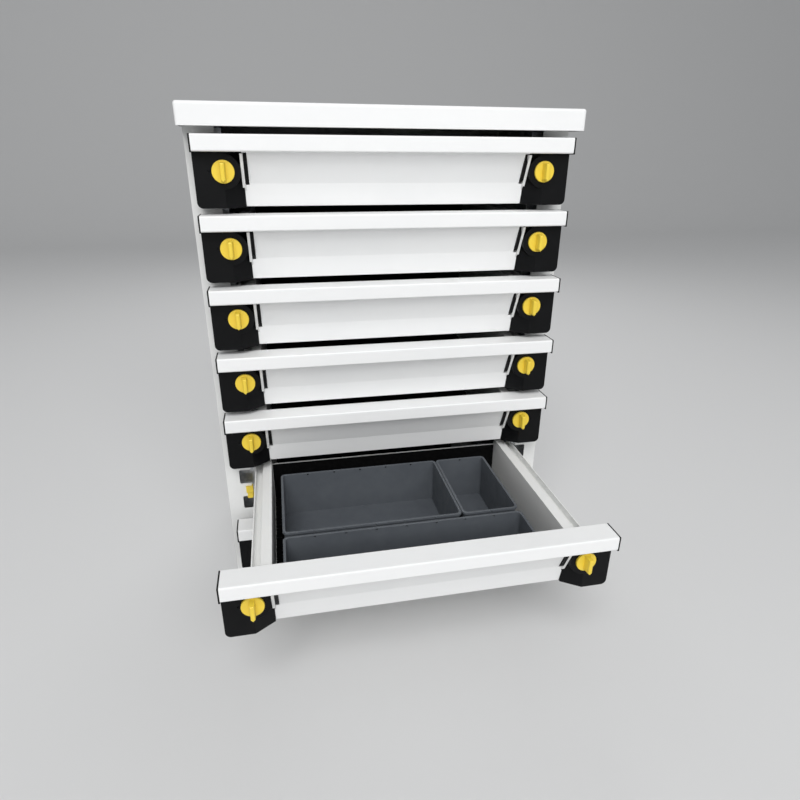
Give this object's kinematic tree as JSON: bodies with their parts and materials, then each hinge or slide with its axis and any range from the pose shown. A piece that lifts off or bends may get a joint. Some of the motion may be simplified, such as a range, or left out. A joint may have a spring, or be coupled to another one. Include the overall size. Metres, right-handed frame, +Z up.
{
  "type": "drawer cabinet",
  "caption": "White steel drawer cabinet with full-width pull rails, black corner blocks, yellow quarter-turn locks and one drawer pulled out to show removable grey bins.",
  "frame": {"origin": "centre of the footprint of the side panels, on the surface that the cabinet stands on; the pattern of the floor bolts is centred there", "axes": "+Z up; drawer fronts face -Y and drawers open along -Y; +X to the right as seen from the front"},
  "size_m": [0.5304, 0.581, 0.7399],
  "materials": {
    "white_steel": "white powder coat, satin",
    "grey_steel": "light grey powder coat, fine texture",
    "black_plastic": "black moulded plastic, fine grain",
    "yellow_plastic": "yellow moulded plastic, satin",
    "grey_plastic": "grey moulded plastic",
    "zinc_steel": "bright zinc plate"
  },
  "bodies": {
    "cabinet": {"side_left": "grey_steel", "side_right": "grey_steel", "back_panel": "grey_steel", "top_cap": "white_steel", "base_panel": "grey_steel", "uprights": "zinc_steel", "lock_catches": "yellow_plastic", "cabinet_runners": "zinc_steel", "side_screws": "zinc_steel"},
    "drawer_1": {"drawer_1_front": "white_steel", "drawer_1_tray": "grey_steel", "drawer_1_corner_blocks": "black_plastic"},
    "drawer_1_middle": {"drawer_1_middle_runners": "zinc_steel"},
    "drawer_1_release": {"drawer_1_release_bar": "black_plastic"},
    "drawer_1_lock_left": {"drawer_1_knob_left": "yellow_plastic"},
    "drawer_1_lock_right": {"drawer_1_knob_right": "yellow_plastic"},
    "drawer_2": {"drawer_2_front": "white_steel", "drawer_2_tray": "grey_steel", "drawer_2_corner_blocks": "black_plastic"},
    "drawer_2_middle": {"drawer_2_middle_runners": "zinc_steel"},
    "drawer_2_release": {"drawer_2_release_bar": "black_plastic"},
    "drawer_2_lock_left": {"drawer_2_knob_left": "yellow_plastic"},
    "drawer_2_lock_right": {"drawer_2_knob_right": "yellow_plastic"},
    "drawer_3": {"drawer_3_front": "white_steel", "drawer_3_tray": "grey_steel", "drawer_3_corner_blocks": "black_plastic"},
    "drawer_3_middle": {"drawer_3_middle_runners": "zinc_steel"},
    "drawer_3_release": {"drawer_3_release_bar": "black_plastic"},
    "drawer_3_lock_left": {"drawer_3_knob_left": "yellow_plastic"},
    "drawer_3_lock_right": {"drawer_3_knob_right": "yellow_plastic"},
    "drawer_4": {"drawer_4_front": "white_steel", "drawer_4_tray": "grey_steel", "drawer_4_corner_blocks": "black_plastic"},
    "drawer_4_middle": {"drawer_4_middle_runners": "zinc_steel"},
    "drawer_4_release": {"drawer_4_release_bar": "black_plastic"},
    "drawer_4_lock_left": {"drawer_4_knob_left": "yellow_plastic"},
    "drawer_4_lock_right": {"drawer_4_knob_right": "yellow_plastic"},
    "drawer_5": {"drawer_5_front": "white_steel", "drawer_5_tray": "grey_steel", "drawer_5_corner_blocks": "black_plastic"},
    "drawer_5_middle": {"drawer_5_middle_runners": "zinc_steel"},
    "drawer_5_release": {"drawer_5_release_bar": "black_plastic"},
    "drawer_5_lock_left": {"drawer_5_knob_left": "yellow_plastic"},
    "drawer_5_lock_right": {"drawer_5_knob_right": "yellow_plastic"},
    "drawer_6": {"drawer_6_front": "white_steel", "drawer_6_tray": "grey_steel", "drawer_6_corner_blocks": "black_plastic", "front_bin": "grey_plastic", "rear_bins": "grey_plastic"},
    "drawer_6_middle": {"drawer_6_middle_runners": "zinc_steel"},
    "drawer_6_release": {"drawer_6_release_bar": "black_plastic"},
    "drawer_6_lock_left": {"drawer_6_knob_left": "yellow_plastic"},
    "drawer_6_lock_right": {"drawer_6_knob_right": "yellow_plastic"},
    "drawer_7": {"drawer_7_front": "white_steel", "drawer_7_tray": "grey_steel", "drawer_7_corner_blocks": "black_plastic"},
    "drawer_7_middle": {"drawer_7_middle_runners": "zinc_steel"},
    "drawer_7_release": {"drawer_7_release_bar": "black_plastic"},
    "drawer_7_lock_left": {"drawer_7_knob_left": "yellow_plastic"},
    "drawer_7_lock_right": {"drawer_7_knob_right": "yellow_plastic"}
  },
  "joints": [
    {"name": "drawer_1_slide", "type": "slide", "parent": "cabinet", "child": "drawer_1", "axis": [0, -1, 0], "range_m": [0, 0.26]},
    {"name": "drawer_1_middle_slide", "type": "slide", "parent": "cabinet", "child": "drawer_1_middle", "axis": [0, -1, 0], "range_m": [0, 0.13]},
    {"name": "drawer_1_release_press", "type": "hinge", "parent": "drawer_1", "child": "drawer_1_release", "pos_m": [0, -0.1655, 0.6942], "axis": [1, 0, 0], "range_deg": [0, 12], "stiffness_Nm_per_rad": 0.5, "springref_deg": -11.46},
    {"name": "drawer_1_lock_left_turn", "type": "hinge", "parent": "drawer_1", "child": "drawer_1_lock_left", "pos_m": [-0.216, -0.1895, 0.6609], "axis": [0, 1, 0], "range_deg": [0, 90]},
    {"name": "drawer_1_lock_right_turn", "type": "hinge", "parent": "drawer_1", "child": "drawer_1_lock_right", "pos_m": [0.216, -0.1895, 0.6609], "axis": [0, -1, 0], "range_deg": [0, 90]},
    {"name": "drawer_2_slide", "type": "slide", "parent": "cabinet", "child": "drawer_2", "axis": [0, -1, 0], "range_m": [0, 0.26]},
    {"name": "drawer_2_middle_slide", "type": "slide", "parent": "cabinet", "child": "drawer_2_middle", "axis": [0, -1, 0], "range_m": [0, 0.13]},
    {"name": "drawer_2_release_press", "type": "hinge", "parent": "drawer_2", "child": "drawer_2_release", "pos_m": [0, -0.1655, 0.599], "axis": [1, 0, 0], "range_deg": [0, 12], "stiffness_Nm_per_rad": 0.5, "springref_deg": -11.46},
    {"name": "drawer_2_lock_left_turn", "type": "hinge", "parent": "drawer_2", "child": "drawer_2_lock_left", "pos_m": [-0.216, -0.1895, 0.5657], "axis": [0, 1, 0], "range_deg": [0, 90]},
    {"name": "drawer_2_lock_right_turn", "type": "hinge", "parent": "drawer_2", "child": "drawer_2_lock_right", "pos_m": [0.216, -0.1895, 0.5657], "axis": [0, -1, 0], "range_deg": [0, 90]},
    {"name": "drawer_3_slide", "type": "slide", "parent": "cabinet", "child": "drawer_3", "axis": [0, -1, 0], "range_m": [0, 0.26]},
    {"name": "drawer_3_middle_slide", "type": "slide", "parent": "cabinet", "child": "drawer_3_middle", "axis": [0, -1, 0], "range_m": [0, 0.13]},
    {"name": "drawer_3_release_press", "type": "hinge", "parent": "drawer_3", "child": "drawer_3_release", "pos_m": [0, -0.1655, 0.5038], "axis": [1, 0, 0], "range_deg": [0, 12], "stiffness_Nm_per_rad": 0.5, "springref_deg": -11.46},
    {"name": "drawer_3_lock_left_turn", "type": "hinge", "parent": "drawer_3", "child": "drawer_3_lock_left", "pos_m": [-0.216, -0.1895, 0.4705], "axis": [0, 1, 0], "range_deg": [0, 90]},
    {"name": "drawer_3_lock_right_turn", "type": "hinge", "parent": "drawer_3", "child": "drawer_3_lock_right", "pos_m": [0.216, -0.1895, 0.4705], "axis": [0, -1, 0], "range_deg": [0, 90]},
    {"name": "drawer_4_slide", "type": "slide", "parent": "cabinet", "child": "drawer_4", "axis": [0, -1, 0], "range_m": [0, 0.26]},
    {"name": "drawer_4_middle_slide", "type": "slide", "parent": "cabinet", "child": "drawer_4_middle", "axis": [0, -1, 0], "range_m": [0, 0.13]},
    {"name": "drawer_4_release_press", "type": "hinge", "parent": "drawer_4", "child": "drawer_4_release", "pos_m": [0, -0.1655, 0.4086], "axis": [1, 0, 0], "range_deg": [0, 12], "stiffness_Nm_per_rad": 0.5, "springref_deg": -11.46},
    {"name": "drawer_4_lock_left_turn", "type": "hinge", "parent": "drawer_4", "child": "drawer_4_lock_left", "pos_m": [-0.216, -0.1895, 0.3753], "axis": [0, 1, 0], "range_deg": [0, 90]},
    {"name": "drawer_4_lock_right_turn", "type": "hinge", "parent": "drawer_4", "child": "drawer_4_lock_right", "pos_m": [0.216, -0.1895, 0.3753], "axis": [0, -1, 0], "range_deg": [0, 90]},
    {"name": "drawer_5_slide", "type": "slide", "parent": "cabinet", "child": "drawer_5", "axis": [0, -1, 0], "range_m": [0, 0.26]},
    {"name": "drawer_5_middle_slide", "type": "slide", "parent": "cabinet", "child": "drawer_5_middle", "axis": [0, -1, 0], "range_m": [0, 0.13]},
    {"name": "drawer_5_release_press", "type": "hinge", "parent": "drawer_5", "child": "drawer_5_release", "pos_m": [0, -0.1655, 0.3134], "axis": [1, 0, 0], "range_deg": [0, 12], "stiffness_Nm_per_rad": 0.5, "springref_deg": -11.46},
    {"name": "drawer_5_lock_left_turn", "type": "hinge", "parent": "drawer_5", "child": "drawer_5_lock_left", "pos_m": [-0.216, -0.1895, 0.2801], "axis": [0, 1, 0], "range_deg": [0, 90]},
    {"name": "drawer_5_lock_right_turn", "type": "hinge", "parent": "drawer_5", "child": "drawer_5_lock_right", "pos_m": [0.216, -0.1895, 0.2801], "axis": [0, -1, 0], "range_deg": [0, 90]},
    {"name": "drawer_6_slide", "type": "slide", "parent": "cabinet", "child": "drawer_6", "axis": [0, -1, 0], "range_m": [-0.247, 0.013]},
    {"name": "drawer_6_middle_slide", "type": "slide", "parent": "cabinet", "child": "drawer_6_middle", "axis": [0, -1, 0], "range_m": [-0.1235, 0.0065]},
    {"name": "drawer_6_release_press", "type": "hinge", "parent": "drawer_6", "child": "drawer_6_release", "pos_m": [0, -0.4125, 0.2182], "axis": [1, 0, 0], "range_deg": [0, 12], "stiffness_Nm_per_rad": 0.5, "springref_deg": -11.46},
    {"name": "drawer_6_lock_left_turn", "type": "hinge", "parent": "drawer_6", "child": "drawer_6_lock_left", "pos_m": [-0.216, -0.4365, 0.1849], "axis": [0, 1, 0], "range_deg": [0, 90]},
    {"name": "drawer_6_lock_right_turn", "type": "hinge", "parent": "drawer_6", "child": "drawer_6_lock_right", "pos_m": [0.216, -0.4365, 0.1849], "axis": [0, -1, 0], "range_deg": [0, 90]},
    {"name": "drawer_7_slide", "type": "slide", "parent": "cabinet", "child": "drawer_7", "axis": [0, -1, 0], "range_m": [0, 0.26]},
    {"name": "drawer_7_middle_slide", "type": "slide", "parent": "cabinet", "child": "drawer_7_middle", "axis": [0, -1, 0], "range_m": [0, 0.13]},
    {"name": "drawer_7_release_press", "type": "hinge", "parent": "drawer_7", "child": "drawer_7_release", "pos_m": [0, -0.1655, 0.123], "axis": [1, 0, 0], "range_deg": [0, 12], "stiffness_Nm_per_rad": 0.5, "springref_deg": -11.46},
    {"name": "drawer_7_lock_left_turn", "type": "hinge", "parent": "drawer_7", "child": "drawer_7_lock_left", "pos_m": [-0.216, -0.1895, 0.0897], "axis": [0, 1, 0], "range_deg": [0, 90]},
    {"name": "drawer_7_lock_right_turn", "type": "hinge", "parent": "drawer_7", "child": "drawer_7_lock_right", "pos_m": [0.216, -0.1895, 0.0897], "axis": [0, -1, 0], "range_deg": [0, 90]}
  ],
  "couplings": [
    {"joint": "drawer_1_middle_slide", "follows": "drawer_1_slide", "ratio": 0.5},
    {"joint": "drawer_2_middle_slide", "follows": "drawer_2_slide", "ratio": 0.5},
    {"joint": "drawer_3_middle_slide", "follows": "drawer_3_slide", "ratio": 0.5},
    {"joint": "drawer_4_middle_slide", "follows": "drawer_4_slide", "ratio": 0.5},
    {"joint": "drawer_5_middle_slide", "follows": "drawer_5_slide", "ratio": 0.5},
    {"joint": "drawer_6_middle_slide", "follows": "drawer_6_slide", "ratio": 0.5},
    {"joint": "drawer_7_middle_slide", "follows": "drawer_7_slide", "ratio": 0.5}
  ]
}
